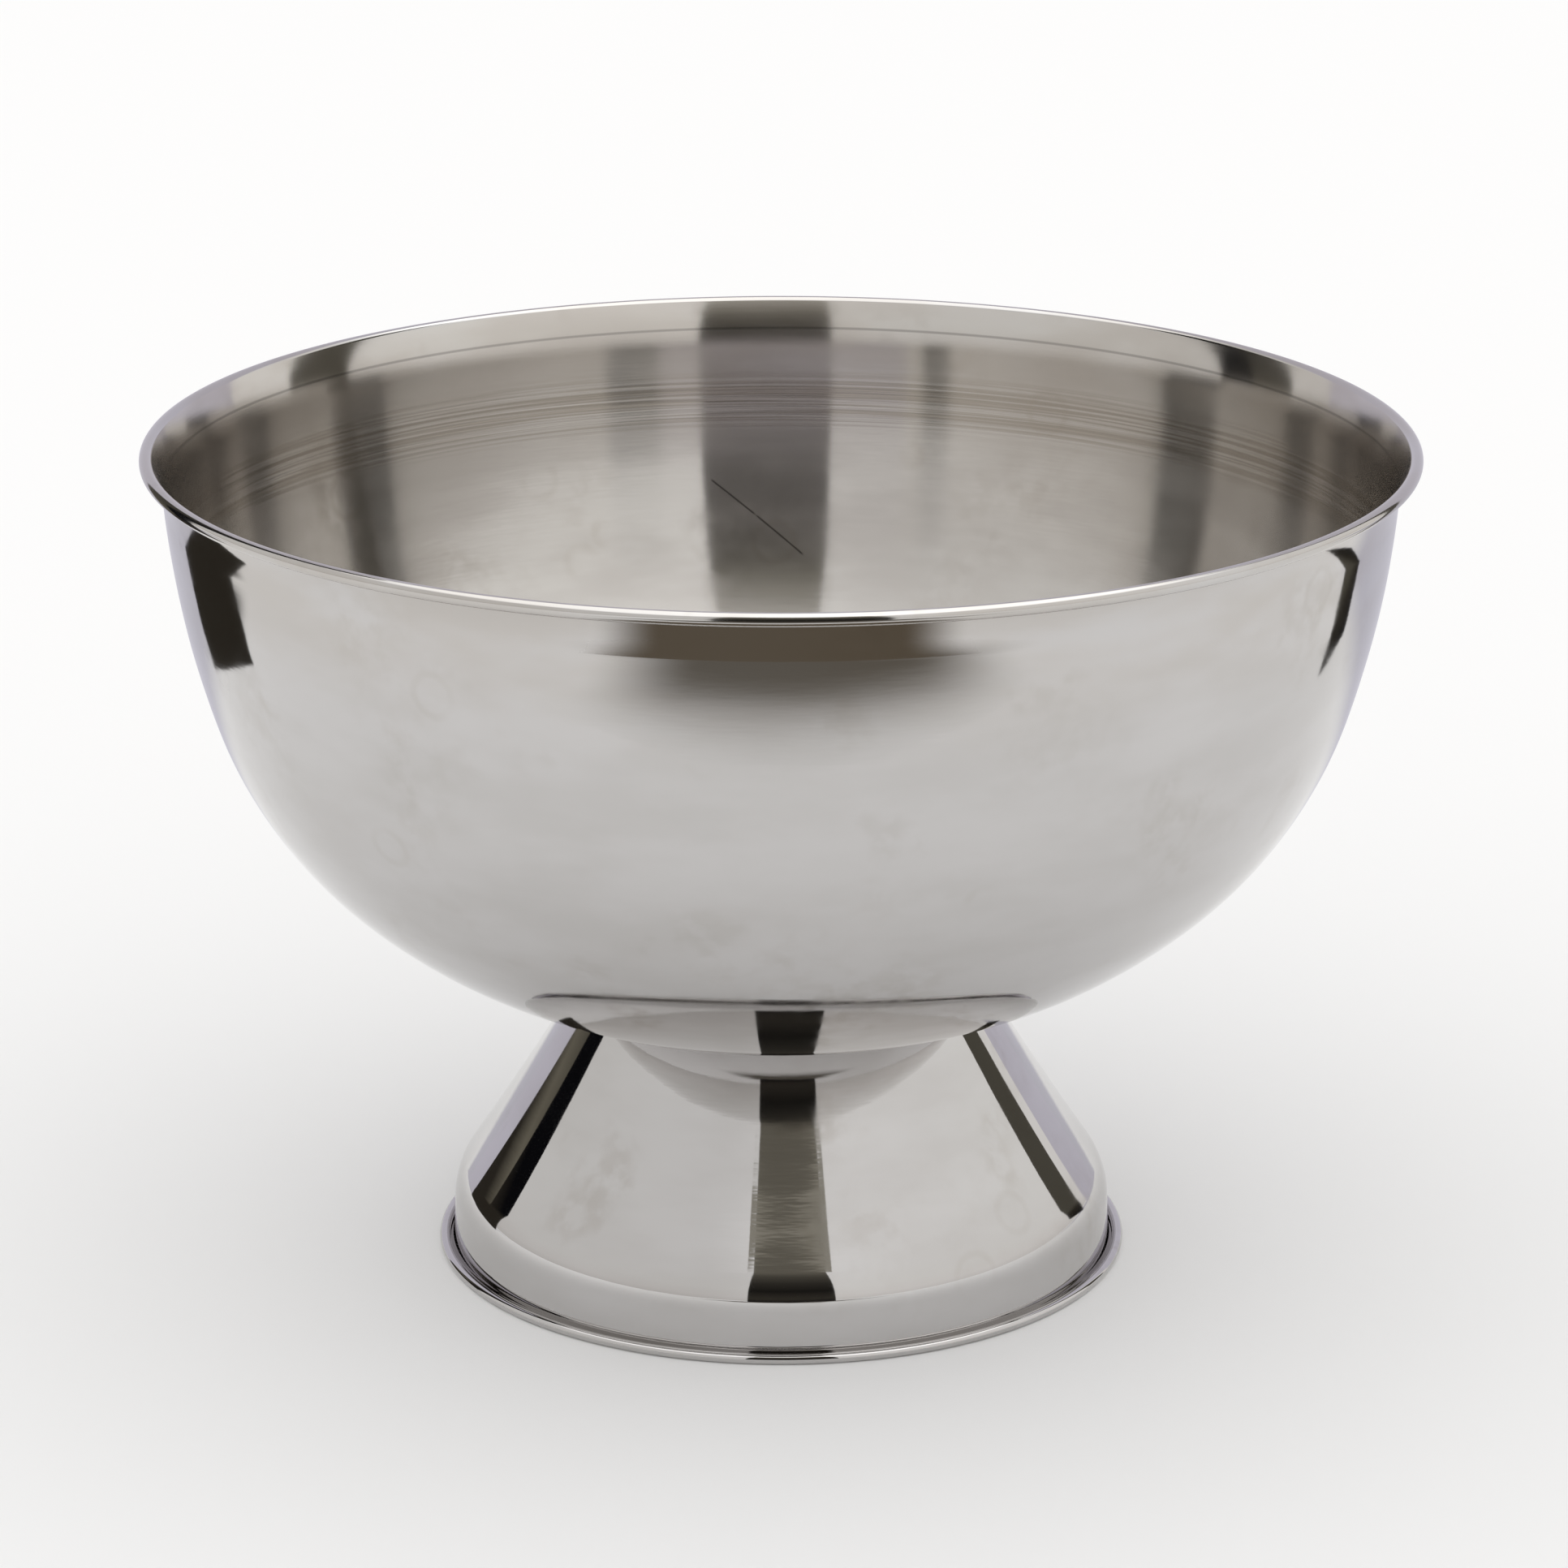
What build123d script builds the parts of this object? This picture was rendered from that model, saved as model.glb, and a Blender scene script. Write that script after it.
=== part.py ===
from build123d import *
import os
from math import cos, radians, sin, tan

# Punch bowl on a foot: two spun stainless steel shells, spot welded together.
# Millimetres, +Z up, origin at the centre of the ring that stands on the table.

# Overall sizes
rim_diameter = 360.0        # over the outside of the rolled rim
overall_height = 240.0      # table to the top of the rolled rim
foot_height = 79.0          # table to the seat between foot and bowl
base_diameter = 200.0       # over the outside of the foot's rolled base
bowl_sheet = 0.8            # sheet thickness of the bowl
foot_sheet = 0.8            # sheet thickness of the foot

# Bowl, given on its inside face; slopes are measured from horizontal
floor_diameter = 104.0      # flat floor inside the bowl
knuckle_slope = 20.0        # where the knuckle round the floor ends
lower_slope = 42.0          # where the lower curve turns into the belly
belly_slope = 72.0          # where the belly turns into the wall
wall_slope = 85.0           # at the top of the wall, under the lip
lip_slope = 65.0            # where the flared lip starts to curl
lower_to_knuckle = 2.0      # radius of the lower curve over that of the knuckle
wall_to_belly = 2.2         # radius of the wall over that of the belly
lip_radius = 41.0
rim_bead_radius = 1.9       # outside radius of the rolled rim
rim_curl = 285.0            # how far the rim is rolled round

# Foot, given on its inside face
seat_margin = 5.0           # foot top wider than the bowl's floor, each side
seat_corner_radius = 2.2
shoulder_height = 19.5      # table to the corner that the shoulder rounds
shoulder_radius = 19.5
band_lean = 2.2             # the band's lean from vertical
base_fillet = 2.3           # between the band and the base ledge
base_ledge = 3.4            # band to the centre of the rolled base
base_bead_radius = 1.5      # outside radius of the rolled base
base_curl = 285.0           # how far the base is rolled round

# Spot welds
weld_count = 6
weld_inset = 14.0           # weld centres in from the edge of the bowl's floor
weld_diameter = 5.0
weld_depth = 0.5            # how deep each weld goes into either sheet

os.makedirs("parts", exist_ok=True)


def slope_step(radius, start_slope, end_slope):
    """Width and height covered by an arc that steepens from one slope to another."""
    width = radius * (sin(radians(end_slope)) - sin(radians(start_slope)))
    height = radius * (cos(radians(start_slope)) - cos(radians(end_slope)))
    return width, height


def rolled_edge(centre, outside_radius, sheet, start_angle, curl):
    """Outline of a sheet's edge rolled round a centre, from a start angle about it."""
    outside = CenterArc(centre, outside_radius, start_angle, curl)
    inside = CenterArc(centre, outside_radius - sheet, start_angle, curl)
    Line(outside @ 0, inside @ 0)
    Line(outside @ 1, inside @ 1)


# The lip hangs from the rolled rim.
rim_centre_r = rim_diameter / 2 - rim_bead_radius
rim_centre_z = overall_height - rim_bead_radius
lip_width, lip_rise = slope_step(lip_radius, lip_slope, wall_slope)
wall_top_r = rim_centre_r - rim_bead_radius * sin(radians(lip_slope)) - lip_width
wall_top_z = rim_centre_z + rim_bead_radius * cos(radians(lip_slope)) - lip_rise

# Four arcs join the floor to the top of the wall. With their slopes and ratios given, only one
# knuckle radius and one belly radius make them meet.
knuckle_width, knuckle_rise = slope_step(1, 0, knuckle_slope)
lower_width, lower_rise = slope_step(lower_to_knuckle, knuckle_slope, lower_slope)
belly_width, belly_rise = slope_step(1, lower_slope, belly_slope)
wall_width, wall_rise = slope_step(wall_to_belly, belly_slope, wall_slope)
bottom_width = knuckle_width + lower_width
bottom_rise = knuckle_rise + lower_rise
side_width = belly_width + wall_width
side_rise = belly_rise + wall_rise
floor_z = foot_height + bowl_sheet
curve_width = wall_top_r - floor_diameter / 2
curve_rise = wall_top_z - floor_z
spread = bottom_width * side_rise - side_width * bottom_rise
knuckle_radius = (curve_width * side_rise - side_width * curve_rise) / spread
belly_radius = (bottom_width * curve_rise - curve_width * bottom_rise) / spread
lower_radius = lower_to_knuckle * knuckle_radius
wall_radius = wall_to_belly * belly_radius
weld_circle_r = floor_diameter / 2 - weld_inset

# Bowl: one sheet, from the middle of the floor out to the end of the rolled rim
with BuildPart() as bowl:
    with BuildSketch(Plane.XZ):
        with BuildLine():
            floor = Line((0, floor_z), (floor_diameter / 2, floor_z))
            knuckle = JernArc(floor @ 1, floor % 1, knuckle_radius, knuckle_slope)
            lower = JernArc(knuckle @ 1, knuckle % 1, lower_radius, lower_slope - knuckle_slope)
            belly = JernArc(lower @ 1, lower % 1, belly_radius, belly_slope - lower_slope)
            wall = JernArc(belly @ 1, belly % 1, wall_radius, wall_slope - belly_slope)
            JernArc(wall @ 1, wall % 1, lip_radius, lip_slope - wall_slope)
            offset(amount=bowl_sheet, side=Side.RIGHT)
        make_face()
        with BuildLine():
            rolled_edge((rim_centre_r, rim_centre_z), rim_bead_radius, bowl_sheet,
                        90 + lip_slope, -rim_curl)
        make_face()
    revolve(axis=Axis.Z)
    with BuildSketch(Plane.XY.offset(foot_height)):
        with PolarLocations(weld_circle_r, weld_count):
            Circle(weld_diameter / 2)
    extrude(amount=weld_depth, mode=Mode.SUBTRACT)
bowl.part.label = "bowl"
export_step(bowl.part, "parts/bowl.step")

# Foot: one sheet, from the middle of its closed top out to the end of the rolled base
foot_top_z = foot_height - foot_sheet
foot_top_r = floor_diameter / 2 + seat_margin
base_centre_r = base_diameter / 2 - base_bead_radius
band_foot_r = base_centre_r - base_ledge
shoulder_r = band_foot_r - shoulder_height * tan(radians(band_lean))

with BuildPart() as foot:
    with BuildSketch(Plane.XZ):
        with BuildLine():
            FilletPolyline(
                (0, foot_top_z),
                (foot_top_r, foot_top_z),
                (shoulder_r, shoulder_height),
                (band_foot_r, 0),
                (base_centre_r, 0),
                radius=[seat_corner_radius, shoulder_radius, base_fillet],
            )
            offset(amount=foot_sheet, side=Side.LEFT)
        make_face()
        with BuildLine():
            rolled_edge((base_centre_r, base_bead_radius), base_bead_radius, foot_sheet,
                        -90, base_curl)
        make_face()
    revolve(axis=Axis.Z)
    with BuildSketch(Plane.XY.offset(foot_height)):
        with PolarLocations(weld_circle_r, weld_count):
            Circle(weld_diameter / 2)
    extrude(amount=-weld_depth, mode=Mode.SUBTRACT)
foot.part.label = "foot"
export_step(foot.part, "parts/foot.step")

# Spot welds: each nugget fills a pocket in the foot's top and one in the bowl's floor
with BuildPart() as spot_welds:
    with BuildSketch(Plane.XY.offset(foot_height)):
        with PolarLocations(weld_circle_r, weld_count):
            Circle(weld_diameter / 2)
    extrude(amount=weld_depth, both=True)
spot_welds.part.label = "spot_welds"
export_step(spot_welds.part, "parts/spot_welds.step")
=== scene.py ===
import bpy
import numpy as np
from math import cos, pi, radians, sin, tan
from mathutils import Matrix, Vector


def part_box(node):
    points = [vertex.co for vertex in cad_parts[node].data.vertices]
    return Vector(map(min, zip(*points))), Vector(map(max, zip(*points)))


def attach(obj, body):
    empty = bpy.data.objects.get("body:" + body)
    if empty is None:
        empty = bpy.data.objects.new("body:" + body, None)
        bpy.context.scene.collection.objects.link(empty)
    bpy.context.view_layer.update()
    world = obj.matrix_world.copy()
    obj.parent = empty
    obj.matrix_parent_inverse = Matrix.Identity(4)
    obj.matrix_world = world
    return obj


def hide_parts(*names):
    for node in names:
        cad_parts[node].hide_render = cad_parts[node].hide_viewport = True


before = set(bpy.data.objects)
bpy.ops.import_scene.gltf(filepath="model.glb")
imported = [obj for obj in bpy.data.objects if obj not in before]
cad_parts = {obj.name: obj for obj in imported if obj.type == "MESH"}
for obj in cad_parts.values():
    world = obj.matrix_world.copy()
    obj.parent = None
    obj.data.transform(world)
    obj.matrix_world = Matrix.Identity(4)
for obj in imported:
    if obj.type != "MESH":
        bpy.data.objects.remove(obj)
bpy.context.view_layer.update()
scene = bpy.context.scene
print("frame loaded")

mm = 0.001
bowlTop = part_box("bowl")[1]
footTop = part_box("foot")[1]


class Wire:
    # a shader socket that takes part in plain arithmetic
    def __init__(self, shader, socket):
        self.shader = shader
        self.socket = socket

    def math(self, operation, first, second=0.0, clamp=False):
        settings = {"operation": operation, "use_clamp": clamp}
        return self.shader.add("Math", settings, {0: first, 1: second})

    def __add__(self, other):
        return self.math("ADD", self, other)

    def __radd__(self, other):
        return self.math("ADD", other, self)

    def __sub__(self, other):
        return self.math("SUBTRACT", self, other)

    def __rsub__(self, other):
        return self.math("SUBTRACT", other, self)

    def __mul__(self, other):
        return self.math("MULTIPLY", self, other)

    def __rmul__(self, other):
        return self.math("MULTIPLY", other, self)

    def __truediv__(self, other):
        return self.math("DIVIDE", self, other)

    def __rtruediv__(self, other):
        return self.math("DIVIDE", other, self)

    def __pow__(self, other):
        return self.math("POWER", self, other)

    def limit(self):
        return self.math("ADD", self, 0.0, clamp=True)

    def most(self, other):
        return self.math("MAXIMUM", self, other)

    def fade(self, start, end):
        # 0 at start, 1 at end, eased between
        settings = {"interpolation_type": "SMOOTHSTEP"}
        sockets = {"Value": self, "From Min": start, "From Max": end}
        return self.shader.add("MapRange", settings, sockets)


class Shader:
    def __init__(self, owner):
        owner.use_nodes = True
        self.owner = owner
        self.tree = owner.node_tree
        self.tree.nodes.clear()

    def add(self, kind, settings=None, sockets=None, out=0):
        node = self.tree.nodes.new("ShaderNode" + kind)
        for key, value in (settings or {}).items():
            if key == "stops":
                ramp = node.color_ramp.elements
                while len(ramp) < len(value):
                    ramp.new(0.5)
                for stop, (place, colour) in zip(ramp, value):
                    stop.position = place
                    stop.color = colour
            else:
                setattr(node, key, value)
        for key, value in (sockets or {}).items():
            if isinstance(value, Wire):
                self.tree.links.new(value.socket, node.inputs[key])
            else:
                node.inputs[key].default_value = value
        return Wire(self, node.outputs[out]) if node.outputs else None

    def noise(self, vector, scale, detail=2.0, roughness=0.5):
        sockets = {"Vector": vector, "Scale": scale, "Detail": detail, "Roughness": roughness}
        return self.add("TexNoise", {}, sockets)

    def mix(self, mask, below, above, how="MIX"):
        # two colours; a mask of 0 gives the first
        settings = {"data_type": "RGBA", "blend_type": how}
        return self.add("Mix", settings, {0: mask, 6: below, 7: above}, out=2)

    def axes(self, vector):
        node = self.add("SeparateXYZ", {}, {0: vector}).socket.node
        return [Wire(self, output) for output in node.outputs]


# Camera: a long lens, a little above the rim
cameraSettings = {
    "place": (0.0, -1.6318, 0.6567),
    "down": 17.637,
    "aside": -0.028,
    "lens": 137.1,
}
cameraData = bpy.data.cameras.new("camera")
cameraData.lens = cameraSettings["lens"]
cameraData.sensor_width = 36.0
cameraData.clip_start = 0.01
camera = bpy.data.objects.new("camera", cameraData)
camera.location = cameraSettings["place"]
camera.rotation_euler = (radians(90 - cameraSettings["down"]), 0.0,
                         radians(cameraSettings["aside"]))
scene.collection.objects.link(camera)
scene.camera = camera
scene.view_settings.view_transform = "Standard"
scene.cycles.glossy_bounces = 10
scene.cycles.max_bounces = 14
print("camera placed")


# A spun piece is a profile turned round Z. A profile point is (radius, height, way of travel),
# in millimetres and radians, with the metal to the right of the travel.
def straight(start, end, steps):
    way = np.arctan2(end[1] - start[1], end[0] - start[0])
    return [(start[0] + (end[0] - start[0]) * i / steps,
             start[1] + (end[1] - start[1]) * i / steps, way) for i in range(steps + 1)]


def bend(start, slope, radius, turn, steps):
    # an arc that leaves start at a slope and turns left, all in degrees
    side = 1 if turn > 0 else -1
    points = []
    for i in range(steps + 1):
        way = radians(slope + turn * i / steps)
        points.append((start[0] + side * radius * (sin(way) - sin(radians(slope))),
                       start[1] + side * radius * (cos(radians(slope)) - cos(way)), way))
    return points


def roll(centre, radius, start, turn, steps):
    # round a rolled edge, from a start angle about its centre
    side = 1 if turn > 0 else -1
    points = []
    for i in range(steps + 1):
        angle = radians(start + turn * i / steps)
        points.append((centre[0] + radius * cos(angle), centre[1] + radius * sin(angle),
                       angle + side * pi / 2))
    return points


def aside(points, distance):
    # the same points moved to the right of their travel
    return [(r + distance * sin(way), z - distance * cos(way), way) for r, z, way in points]


def back(points):
    return [(r, z, way + pi) for r, z, way in reversed(points)]


def joined(*runs):
    # tangent runs as one, without the doubled points
    points = list(runs[0])
    for run in runs[1:]:
        points += run[1:]
    return points


def rounded(corners, radii, reach):
    # straight runs through corners, each inner corner rounded, points about reach apart
    runs = []
    start = corners[0]
    for i, radius in enumerate(radii):
        before, corner, after = (np.array(corners[i + k]) for k in range(3))
        wayIn = np.arctan2(*(corner - before)[::-1])
        wayOut = np.arctan2(*(after - corner)[::-1])
        turn = np.degrees(wayOut - wayIn)
        cut = radius * tan(abs(radians(turn)) / 2)
        begin = corner - cut * np.array([cos(wayIn), sin(wayIn)])
        length = np.hypot(*(begin - np.array(start)))
        runs.append(straight(start, begin, max(2, int(length / reach))))
        steps = max(int(abs(turn) / 5), int(abs(radians(turn)) * radius / reach), 4)
        runs.append(bend(begin, np.degrees(wayIn), radius, turn, steps))
        start = runs[-1][-1][:2]
    runs.append(straight(start, corners[-1], 3))
    return joined(*runs)


def spin(name, runs, turns, ripples, steel):
    # runs are (points, material number), end to end; a corner between two runs is sharp
    around = np.arange(turns) * 2 * pi / turns
    rows, rowLengths = [], []
    faces, normals, numbers = [], [], []
    vertexCount, length = 0, 0.0
    starts = []
    for points, number in runs:
        points = np.array(points, float)
        steps = np.hypot(*np.diff(points[:, :2], axis=0).T)
        lengths = length + np.concatenate([[0.0], np.cumsum(steps)])
        length = lengths[-1]
        s, t = np.meshgrid(lengths, around, indexing="ij")
        middle = np.clip(points[:, 0] / 45, 0, 1) ** 2
        edge = np.clip(np.minimum(lengths - lengths[0], lengths[-1] - lengths) / 9, 0, 1) ** 2
        calm = (middle * edge)[:, None]
        lift, climb, sway = np.zeros_like(s), np.zeros_like(s), np.zeros_like(s)
        for wave, height, lobes, phase in ripples:
            angle = 2 * pi * s / wave + lobes * t + phase
            lift += calm * height * np.sin(angle)
            climb += calm * height * np.cos(angle) * 2 * pi / wave
            sway += calm * height * np.cos(angle) * lobes
        outR, outZ = -np.sin(points[:, 2])[:, None], np.cos(points[:, 2])[:, None]
        r = points[:, 0][:, None] + lift * outR
        z = points[:, 1][:, None] + lift * outZ
        place = np.stack([r * np.cos(t), r * np.sin(t), z], axis=-1) * mm
        normalR, normalZ = outR - climb * outZ, outZ + climb * outR
        sway = sway / np.maximum(points[:, 0], 1.0)[:, None]
        normal = np.stack([normalR * np.cos(t) + sway * np.sin(t),
                           normalR * np.sin(t) - sway * np.cos(t), normalZ], axis=-1)
        normal /= np.linalg.norm(normal, axis=-1, keepdims=True)
        for i in range(len(points)):
            if i == 0 and starts:
                continue  # the last run's end
            pole = points[i, 0] < 1e-6
            rows.append(place[i, :1] if pole else place[i])
            rowLengths.append(np.full(len(rows[-1]), lengths[i]))
            starts.append(vertexCount)
            vertexCount += len(rows[-1])
        base = len(starts) - len(points)
        for i in range(len(points) - 1):
            low, high = base + i, base + i + 1
            for j in range(turns):
                k = (j + 1) % turns
                corners = [(low, i, j), (high, i + 1, j), (high, i + 1, k), (low, i, k)]
                if len(rows[low]) == 1:
                    corners = corners[:3]
                elif len(rows[high]) == 1:
                    corners = [corners[0], corners[1], corners[3]]
                faces.append([starts[row] + (0 if len(rows[row]) == 1 else c)
                              for row, _, c in corners])
                normals.extend(normal[p, c] for _, p, c in corners)
                numbers.append(number)
    mesh = bpy.data.meshes.new(name)
    mesh.from_pydata(np.concatenate(rows).tolist(), [], faces)
    mesh.polygons.foreach_set("use_smooth", [True] * len(faces))
    mesh.polygons.foreach_set("material_index", numbers)
    mesh.attributes.new("along", "FLOAT", "POINT").data.foreach_set(
        "value", np.concatenate(rowLengths))
    mesh.normals_split_custom_set(np.array(normals))
    for material in steel:
        mesh.materials.append(material)
    mesh.update()
    piece = bpy.data.objects.new(name, mesh)
    scene.collection.objects.link(piece)
    return piece


# Steel. Sizes and depths are in millimetres, heights are above the table.
scratchSettings = {"halfWidth": 0.35, "strength": 0.9, "tint": (0.12, 0.11, 0.10, 1)}
# the crease line is painted shade: a dark ring where the inside wall starts to flare
creaseShadeSettings = {"halfWidth": 0.5, "strength": 0.55, "tint": (0.2, 0.19, 0.18, 1)}
grainSettings = {
    "bandSoftness": 4, "axisFrom": 10, "axisTo": 45, "leastRadius": 0.0001,
    "cloudScale": 14.0, "speckScale": 160.0, "dropScale": 30.0, "touchScale": 26.0,
    "touchDull": 0.12,
}


def steelOf(name, look):
    grain = grainSettings
    steel = Shader(bpy.data.materials.new(name))
    place = steel.add("TexCoord", {}, {}, out=3)
    along = steel.add("Attribute", {"attribute_name": "along"}, {}, out=2)
    x, y, z = steel.axes(place)
    radius = ((x * x + y * y) ** 0.5).most(grain["leastRadius"])
    turned = [x / radius, y / radius]

    def spun(acrossSize, roundSize):
        # noise drawn out round the axis: sizes in mm across the grain and along it
        stretch = look["radius"] / roundSize
        return steel.add("CombineXYZ", {}, {0: turned[0] * stretch, 1: turned[1] * stretch,
                                            2: along * (1 / acrossSize)})

    def ring(height, width):
        # a thin line round the piece, 1 on the line
        gap = (z / mm - height) / width
        return 1 - (gap * gap).limit()

    def hairline(start, end):
        # a fine scratch between two (x, z) points on the back wall
        run = np.array(end) - np.array(start)
        length = float(np.hypot(*run))
        way = run / length
        offX, offZ = x / mm - start[0], z / mm - start[1]
        reach = offX * float(way[0]) + offZ * float(way[1])
        gap = (offX * float(way[1]) - offZ * float(way[0])) / scratchSettings["halfWidth"]
        ends = reach.fade(0.0, 1.0) * (1 - reach.fade(length - 1.0, length))
        return (1 - (gap * gap).limit()) * ends * y.fade(0.0, 0.01)

    fine = steel.noise(spun(look["lineWidth"], 70), 1.0, 3.0, 0.6)
    broad = steel.noise(spun(look["lineWidth"] * 7, 160), 1.0, 2.0, 0.5)
    # the grain has no direction at the axis, so it fades out there
    offAxis = (radius / mm).fade(grain["axisFrom"], grain["axisTo"])
    wipes = steel.noise(spun(22, 60), 1.0, 3.0, 0.55) * offAxis
    clouds = steel.noise(place, grain["cloudScale"], 4.0, 0.6)
    specks = steel.noise(place, grain["speckScale"], 2.0, 0.5)
    stain = (clouds.fade(0.52, 0.72) * specks.fade(0.35, 0.7)).limit()
    colour = steel.mix(stain * look["stain"], look["tint"], look["stainTint"])
    colour = steel.mix(wipes.fade(0.35, 0.7) * look["wipe"], colour, look["wipeTint"])
    coarse = steel.noise(spun(1.1, 150), 1.0, 2.0, 0.5)
    serration = steel.noise(spun(2.4, 14), 1.0, 2.0, 0.6)
    soft = grain["bandSoftness"]
    band = (z / mm).fade(look["bandFoot"] - soft, look["bandFoot"] + soft) * (
        1 - (z / mm).fade(look["bandTop"] - soft, look["bandTop"] + soft))
    lines = steel.noise(spun(0.9, 110), 1.0, 1.0, 0.5).fade(0.44, 0.58) * band
    colour = steel.mix(lines * look["lineStain"], colour, look["lineTint"])
    # browner and darker towards the rim, in the wiped patches
    high = (z / mm).fade(look["warmFoot"], look["warmTop"]) * wipes.fade(0.25, 0.6)
    colour = steel.mix(high * look["warm"], colour, look["warmTint"])
    drops = steel.add("TexVoronoi", {"feature": "F1"},
                      {"Vector": place, "Scale": grain["dropScale"]})
    dropEdge = drops.fade(0.15, 0.19) * (1 - drops.fade(0.20, 0.25))
    dried = dropEdge * clouds.fade(0.5, 0.6) * look["drops"]
    colour = steel.mix(dried.limit(), colour, look["stainTint"])
    touch = steel.noise(place, grain["touchScale"], 3.0, 0.6).fade(0.58, 0.70)
    touch = touch * specks.fade(0.3, 0.6)
    colour = steel.mix(touch * look["touch"], colour, look["touchTint"])
    for start, end in look["scratches"]:
        colour = steel.mix(hairline(start, end) * scratchSettings["strength"], colour,
                           scratchSettings["tint"])
    # painted shade: a dark ring round the inside wall where the lip starts to flare, in place of
    # the dark line that the bend shows in the steel
    if look["crease"]:
        line = ring(look["crease"], creaseShadeSettings["halfWidth"])
        colour = steel.mix(line * creaseShadeSettings["strength"], colour, creaseShadeSettings["tint"])
    height = (fine * look["fineDepth"] + broad * look["broadDepth"]
              + coarse * band * look["bandDepth"] + serration * look["serration"]) * offAxis
    bump = steel.add("Bump", {}, {"Strength": 1.0, "Distance": mm, "Height": height})
    rough = (look["roughness"] + wipes.fade(0.4, 0.75) * look["dull"]
             + stain * look["stainDull"] + touch * look["touch"] * grain["touchDull"])
    made = steel.add("BsdfPrincipled", {}, {
        "Base Color": colour, "Metallic": 1.0, "Roughness": rough,
        "Anisotropic": look["brushed"], "Anisotropic Rotation": 0.25, "Normal": bump})
    steel.add("OutputMaterial", {}, {0: made})
    return steel.owner


outsideLook = {
    "tint": (0.58, 0.568, 0.562, 1), "stainTint": (0.42, 0.39, 0.35, 1), "stain": 0.35,
    "wipeTint": (0.50, 0.485, 0.47, 1), "wipe": 0.5,
    "radius": 160, "lineWidth": 0.7, "fineDepth": 0.0006, "broadDepth": 0.003,
    "roughness": 0.05, "dull": 0.03, "stainDull": 0.05, "brushed": 0.3,
    "bandFoot": -20, "bandTop": -10, "bandDepth": 0.0, "serration": 0.006,
    "lineStain": 0.0, "lineTint": (0.3, 0.26, 0.2, 1), "drops": 0.18,
    "warmFoot": 190, "warmTop": 232, "warm": 0.35, "warmTint": (0.50, 0.455, 0.40, 1),
    "touch": 0.22, "touchTint": (0.40, 0.37, 0.335, 1), "scratches": (), "crease": 0,
}
insideLook = {
    "tint": (0.61, 0.59, 0.565, 1), "stainTint": (0.42, 0.38, 0.33, 1), "stain": 0.4,
    "wipeTint": (0.51, 0.485, 0.46, 1), "wipe": 0.7,
    "radius": 165, "lineWidth": 0.8, "fineDepth": 0.003, "broadDepth": 0.012,
    "roughness": 0.13, "dull": 0.04, "stainDull": 0.04, "brushed": 1.0,
    "bandFoot": 202, "bandTop": 216, "bandDepth": 0.05, "serration": 0.012,
    "lineStain": 0.45, "lineTint": (0.27, 0.225, 0.17, 1), "drops": 0.22,
    "warmFoot": 185, "warmTop": 232, "warm": 0.25, "warmTint": (0.50, 0.45, 0.385, 1),
    "touch": 0.2, "touchTint": (0.40, 0.37, 0.335, 1),
    "scratches": (((-22, 185), (-8, 174)), ((-8, 174), (7, 162))), "crease": 231,
}
rimLook = dict(outsideLook, roughness=0.09, tint=(0.58, 0.57, 0.56, 1))
footLook = dict(outsideLook, radius=85, roughness=0.03, touch=0.3, drops=0.15, serration=0.006)
weldLook = dict(outsideLook, radius=40, roughness=0.3)

outsideSteel = steelOf("polished steel", outsideLook)
insideSteel = steelOf("satin steel", insideLook)
rimSteel = steelOf("rim steel", rimLook)
footSteel = steelOf("foot steel", footLook)
underSteel = steelOf("foot inside steel", dict(insideLook, radius=80, scratches=(), crease=0))
weldSteel = steelOf("weld steel", weldLook)
print("steels made")


# Bowl
bowlSettings = {
    "rimRadius": round(bowlTop.x / mm, 1), "top": round(bowlTop.z / mm, 1),
    "seat": round(footTop.z / mm, 1), "sheet": 0.8, "floorRadius": 52.0,
    "slopes": (0.0, 20.0, 42.0, 72.0, 85.0), "lowerToKnuckle": 2.0, "wallToBelly": 2.2,
    "lipSlope": 65.0, "lipRadius": 41.0, "beadRadius": 1.9, "curl": 285.0,
    "steps": (14, 13, 26, 30, 28), "turns": 320,
    "ripples": ((11.0, 0.0030, 1, 0.0), (17.0, 0.006, -2, 1.0), (41.0, 0.03, 3, 2.0)),
}


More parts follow.
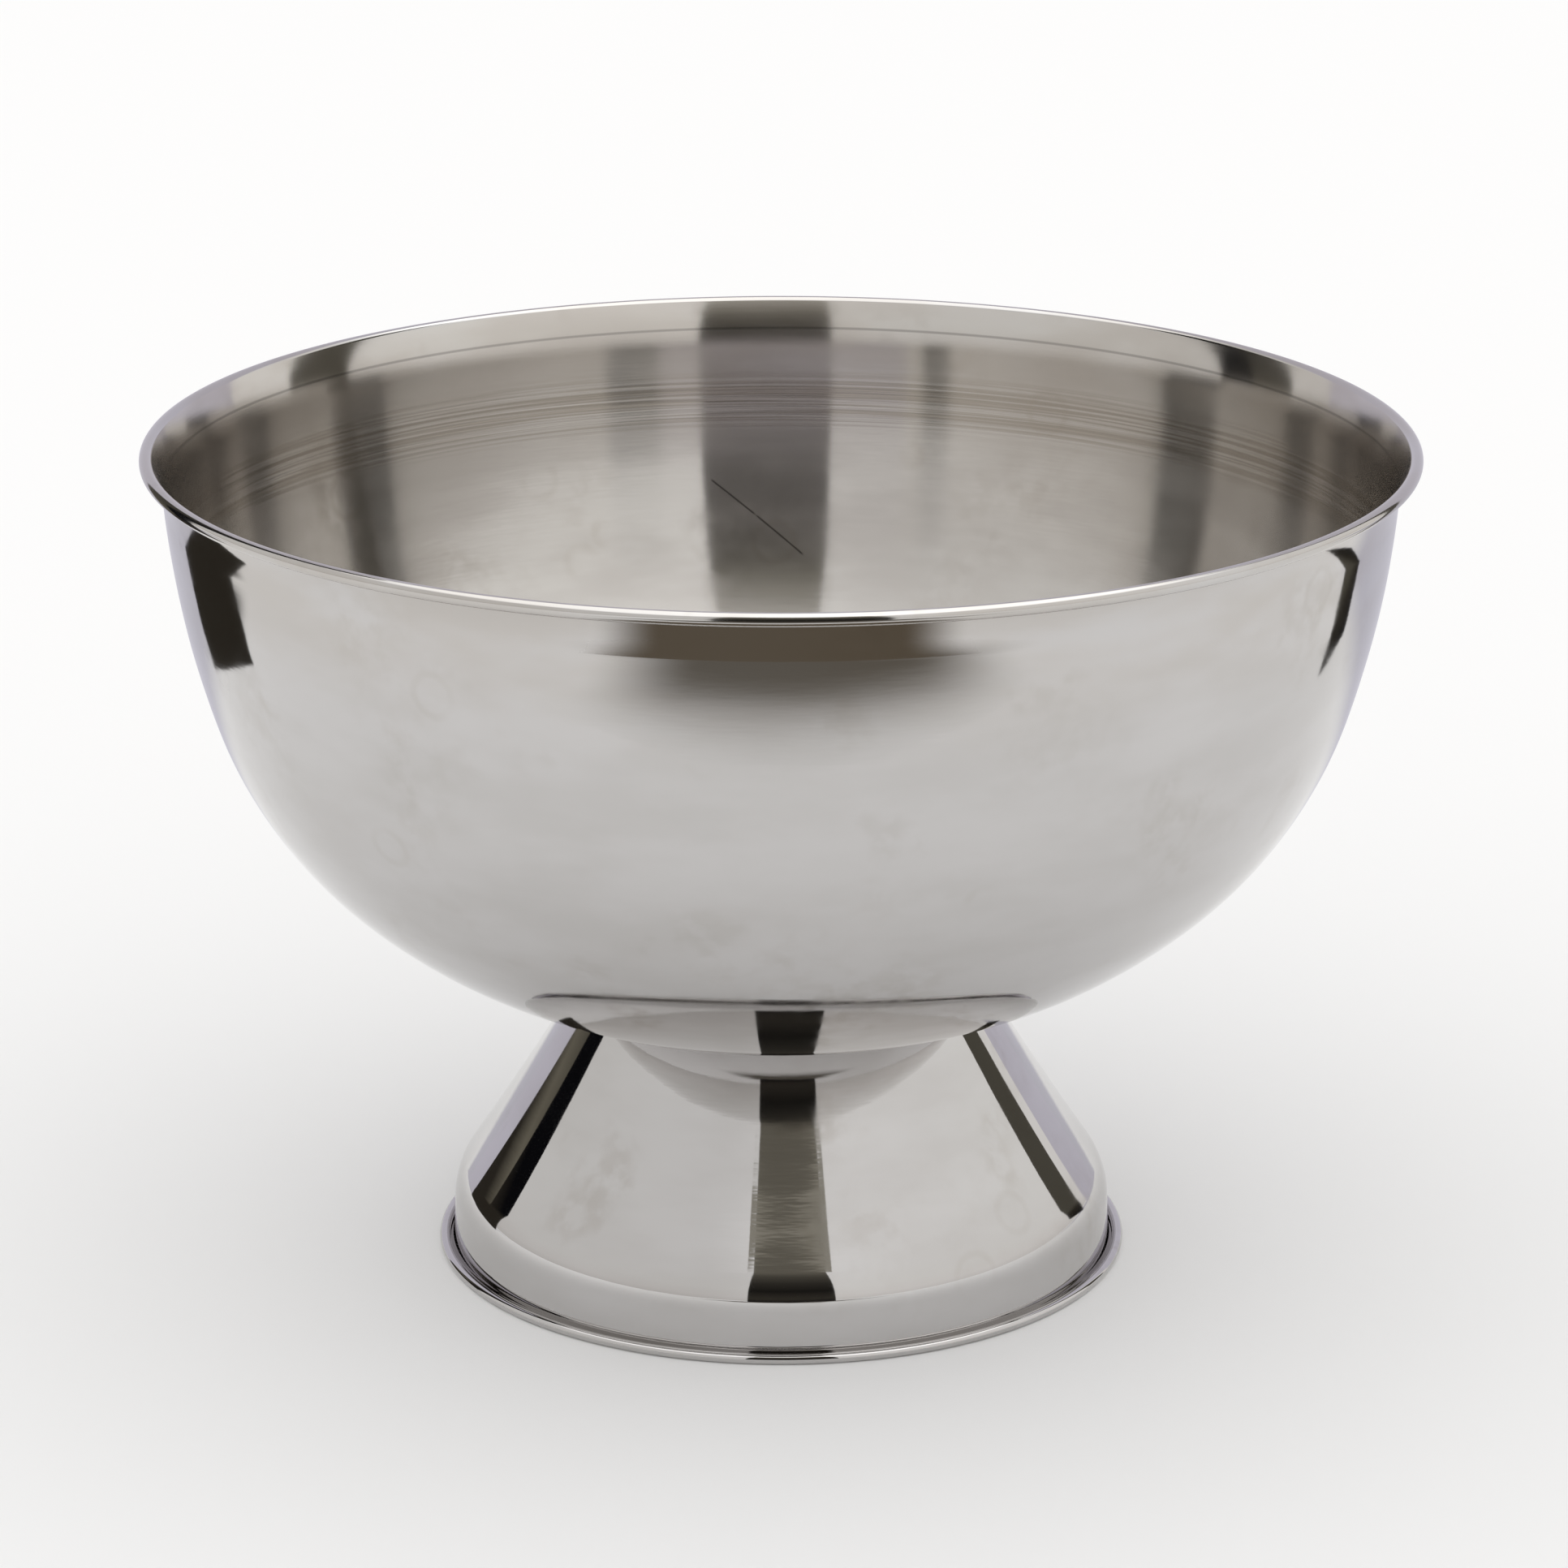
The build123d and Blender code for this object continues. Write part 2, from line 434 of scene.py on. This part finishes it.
def bowlProfile(b):
    beadCentre = (b["rimRadius"] - b["beadRadius"], b["top"] - b["beadRadius"])
    slopes = [radians(slope) for slope in b["slopes"]]
    lip = radians(b["lipSlope"])
    wallTop = (
        beadCentre[0] - b["beadRadius"] * sin(lip) - b["lipRadius"] * (sin(slopes[4]) - sin(lip)),
        beadCentre[1] + b["beadRadius"] * cos(lip) - b["lipRadius"] * (cos(lip) - cos(slopes[4])))
    floorHeight = b["seat"] + b["sheet"]

    def step(first, ratio=1.0):
        return np.array([ratio * (sin(slopes[first + 1]) - sin(slopes[first])),
                         ratio * (cos(slopes[first]) - cos(slopes[first + 1]))])

    bottom = step(0) + step(1, b["lowerToKnuckle"])
    side = step(2) + step(3, b["wallToBelly"])
    gap = np.array([wallTop[0] - b["floorRadius"], wallTop[1] - floorHeight])
    knuckle, belly = np.linalg.solve(np.array([bottom, side]).T, gap)
    radii = (knuckle, b["lowerToKnuckle"] * knuckle, belly, b["wallToBelly"] * belly)
    inner = straight((0, floorHeight), (b["floorRadius"], floorHeight), b["steps"][0])
    for i, radius in enumerate(radii):
        inner = joined(inner, bend(inner[-1][:2], b["slopes"][i], radius,
                                   b["slopes"][i + 1] - b["slopes"][i], b["steps"][i + 1]))
    inner = joined(inner, bend(inner[-1][:2], b["slopes"][4], b["lipRadius"],
                               b["lipSlope"] - b["slopes"][4], 10))
    lipAngle = 90 + b["lipSlope"]
    outerRoll = roll(beadCentre, b["beadRadius"], lipAngle, -b["curl"], 38)
    innerRoll = roll(beadCentre, b["beadRadius"] - b["sheet"], lipAngle - b["curl"], b["curl"], 24)
    rollEnd = straight(outerRoll[-1][:2], innerRoll[0][:2], 2)
    outer = back(aside(inner, b["sheet"]))
    return [(inner, 0), (outerRoll, 1), (rollEnd, 1), (innerRoll, 1), (outer, 2)]


bowl = spin("spun_bowl", bowlProfile(bowlSettings), bowlSettings["turns"],
            bowlSettings["ripples"], [insideSteel, rimSteel, outsideSteel])
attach(bowl, "root")
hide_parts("bowl")
print("bowl spun")


# Foot
footSettings = {
    "baseRadius": round(footTop.x / mm, 1), "height": round(footTop.z / mm, 1), "sheet": 0.8,
    "topRadius": 57.0, "topCorner": 2.2, "hollow": 0.73, "hollowRadius": 1000.0,
    "shoulderHeight": 19.5, "shoulderRadius": 19.5,
    "lean": 2.2, "fillet": 2.3, "ledge": 3.4, "beadRadius": 1.5, "curl": 285.0, "reach": 2.4,
    "turns": 288,
    "ripples": ((9.0, 0.0015, 1, 0.5), (23.0, 0.004, -1, 1.5)),
}


def footProfile(f):
    beadCentre = (f["baseRadius"] - f["beadRadius"], f["beadRadius"])
    bandFoot = beadCentre[0] - f["ledge"]
    corners = [(0, f["height"] - f["sheet"]), (f["topRadius"], f["height"] - f["sheet"]),
               (bandFoot - f["shoulderHeight"] * tan(radians(f["lean"])), f["shoulderHeight"]),
               (bandFoot, 0), (beadCentre[0], 0)]
    chord = np.array(corners[2]) - np.array(corners[1])
    hollow = np.array([chord[1], -chord[0]]) / np.hypot(*chord) * f["hollow"]
    corners.insert(2, tuple(np.array(corners[1]) + chord / 2 + hollow))
    radii = (f["topCorner"], f["hollowRadius"], f["shoulderRadius"], f["fillet"])
    under = rounded(corners, radii, f["reach"])
    upper = aside(under, -f["sheet"])
    innerRoll = roll(beadCentre, f["beadRadius"] - f["sheet"], -90, f["curl"], 24)
    outerRoll = roll(beadCentre, f["beadRadius"], f["curl"] - 90, -f["curl"], 36)
    rollEnd = straight(innerRoll[-1][:2], outerRoll[0][:2], 2)
    return [(upper, 0), (innerRoll, 0), (rollEnd, 0), (outerRoll, 0), (back(under), 1)]


foot = spin("spun_foot", footProfile(footSettings), footSettings["turns"],
            footSettings["ripples"], [footSteel, underSteel])
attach(foot, "root")
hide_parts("foot")
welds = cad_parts["spot_welds"]
welds.data.materials.clear()
welds.data.materials.append(weldSteel)
print("foot spun")


# Studio: a pale floor, a soft white tent, and the gaps between its panels
def panel(name, corners, made, seenByGlossOnly=True):
    mesh = bpy.data.meshes.new(name)
    mesh.from_pydata(corners, [], [list(range(len(corners)))])
    mesh.materials.append(made)
    piece = bpy.data.objects.new(name, mesh)
    scene.collection.objects.link(piece)
    if seenByGlossOnly:
        piece.visible_camera = False
        piece.visible_diffuse = False
        piece.visible_shadow = False
        piece.visible_transmission = False
    return piece


def glowOf(name, stops, top):
    # a glow that changes with height, up to top in metres
    glow = Shader(bpy.data.materials.new(name))
    x, y, z = glow.axes(glow.add("NewGeometry", {}, {}))
    colour = glow.add("ValToRGB", {"stops": stops}, {0: z / top})
    glow.add("OutputMaterial", {}, {0: glow.add("Emission", {}, {0: colour, 1: 1.0})})
    return glow.owner


def standing(name, start, end, top, stops, feet=(0.0, 0.0)):
    corners = [(*start, feet[0]), (*end, feet[1]), (*end, top), (*start, top)]
    return panel(name, corners, glowOf(name, stops, top))


def patch(name, corners, colour, maskOf):
    # a tint lying on the floor, soft at its edges
    tint = Shader(bpy.data.materials.new(name))
    x, y, z = tint.axes(tint.add("NewGeometry", {}, {}))
    glow = tint.add("Emission", {}, {0: colour, 1: 1.0})
    clear = tint.add("BsdfTransparent")
    tint.add("OutputMaterial", {}, {0: tint.add(
        "MixShader", {}, {0: maskOf(x, y), 1: clear, 2: glow})})
    return panel(name, corners, tint.owner)


floorShader = Shader(bpy.data.materials.new("pale floor"))
floorPlace = floorShader.add("NewGeometry", {}, {})
grain = floorShader.noise(floorPlace, 6.0)
floorColour = floorShader.mix(grain * 0.02, (0.86, 0.855, 0.85, 1), (0.8, 0.8, 0.8, 1))
floorShader.add("OutputMaterial", {}, {0: floorShader.add("BsdfDiffuse", {}, {0: floorColour})})
panel("floor", [(-9, -9, 0), (9, -9, 0), (9, 9, 0), (-9, 9, 0)], floorShader.owner, False)

black, brown = (0.004, 0.004, 0.005, 1), (0.03, 0.026, 0.02, 1)
olive, darkOlive = (0.17, 0.155, 0.12, 1), (0.09, 0.083, 0.066, 1)
standing("front_gap", (-0.17, -0.9), (0.28, -0.9), 1.25,
         [(0.0, black), (0.056, (0.045, 0.04, 0.032, 1)), (0.2, (0.014, 0.013, 0.011, 1)),
          (0.36, (0.036, 0.033, 0.027, 1)), (0.54, (0.085, 0.078, 0.063, 1)),
          (0.66, (0.15, 0.138, 0.112, 1)), (0.75, (0.22, 0.205, 0.17, 1)),
          (1.0, (0.46, 0.44, 0.40, 1))])
standing("front_beam", (-0.21, -0.895), (0.32, -0.895), 0.90,
         [(0.0, olive), (0.93, olive), (0.95, (0.34, 0.32, 0.27, 1))], (0.845, 0.845))
standing("left_gap_near", (-0.50, 0.15), (-0.46, 0.23), 0.9,
         [(0.0, brown), (0.12, brown), (0.16, black), (1.0, black)])
standing("left_gap_far", (-0.46, 0.23), (-0.41, 0.33), 0.9,
         [(0.0, brown), (0.1, brown), (0.14, olive), (0.2, darkOlive), (1.0, black)])
standing("right_gap", (0.40, 0.13), (0.50, 0.30), 0.9,
         [(0.0, black), (0.07, brown), (0.1, darkOlive), (1.0, darkOlive)], (0.04, 0.0))
lilac = (0.66, 0.64, 0.72, 1)
standing("back_sheet", (-1.4, 1.2), (1.4, 1.2), 1.8, [(0.0, lilac), (1.0, lilac)])

patch("table_edge", [(-0.5, -1.0, 0.0003), (0.6, -1.0, 0.0003),
                     (0.6, -0.4, 0.0003), (-0.5, -0.4, 0.0003)], (0.155, 0.14, 0.118, 1),
      lambda x, y: (0 - y).fade(0.37, 0.60) * (1 - ((x - 0.04) * (x - 0.04)).fade(0.03, 0.13)))
patch("back_floor", [(-1.4, 0.26, 0.0003), (1.4, 0.26, 0.0003),
                     (1.4, 1.2, 0.0003), (-1.4, 1.2, 0.0003)], (0.64, 0.63, 0.70, 1),
      lambda x, y: y.fade(0.27, 0.42))
patch("left_floor", [(-0.75, 0.1, 0.0006), (-0.40, 0.1, 0.0006),
                     (-0.40, 0.5, 0.0006), (-0.75, 0.5, 0.0006)], (0.035, 0.03, 0.024, 1),
      lambda x, y: (0 - x).fade(0.47, 0.52) * (1 - (0 - x).fade(0.60, 0.66))
      * y.fade(0.17, 0.24) * (1 - y.fade(0.38, 0.46)))

# A narrow warm shade close under the front of the lip, seen only in the steel. It gives the
# brown band there, which the shape of this lip alone does not.
lipShade = {"near": (178.2, 223.2), "far": (197.0, 214.2), "reach": 18, "parts": 24}
lipAngles = np.radians(np.linspace(-lipShade["reach"], lipShade["reach"],
                                   lipShade["parts"] + 1) - 90)
for k in range(lipShade["parts"]):
    corners = [(r * cos(lipAngles[k + i]) * mm, r * sin(lipAngles[k + i]) * mm, z * mm)
               for (r, z), i in ((lipShade["near"], 0), (lipShade["far"], 0),
                                 (lipShade["far"], 1), (lipShade["near"], 1))]
    if k == 0:
        firstShade = patch("lip_shade_0", corners, (0.14, 0.115, 0.085, 1),
                         lambda x, y: 1 - (x * x).fade(0.0013, 0.0033))
        shadeTint = firstShade.data.materials[0]
    else:
        panel(f"lip_shade_{k}", corners, shadeTint)

world = bpy.data.worlds.new("studio")
scene.world = world
sky = Shader(world)
rays = sky.add("LightPath", {}, {}, out=3)
skyX, skyY, skyZ = sky.axes(sky.add("TexCoord", {}, {}))
tent = sky.add("ValToRGB", {"stops": [
    (0.0, (0.74, 0.72, 0.70, 1)), (0.1, (0.82, 0.80, 0.78, 1)), (0.3, (0.86, 0.85, 0.83, 1)),
    (0.68, (0.88, 0.87, 0.86, 1)), (0.85, (1.0, 1.0, 1.0, 1))]}, {0: skyZ})
brighter = skyX.fade(-0.5, 0.5) * 0.2 + 0.94
over = skyZ.fade(0.68, 0.85) * 0.8 + 1.0
glossSky = sky.add("VectorMath", {"operation": "SCALE"}, {0: tent, "Scale": brighter * over})
skyColour = sky.mix(rays, (1.15, 1.15, 1.15, 1), glossSky)
sky.add("OutputWorld", {}, {0: sky.add("Background", {}, {0: skyColour, 1: 1.0})})
print("studio set")
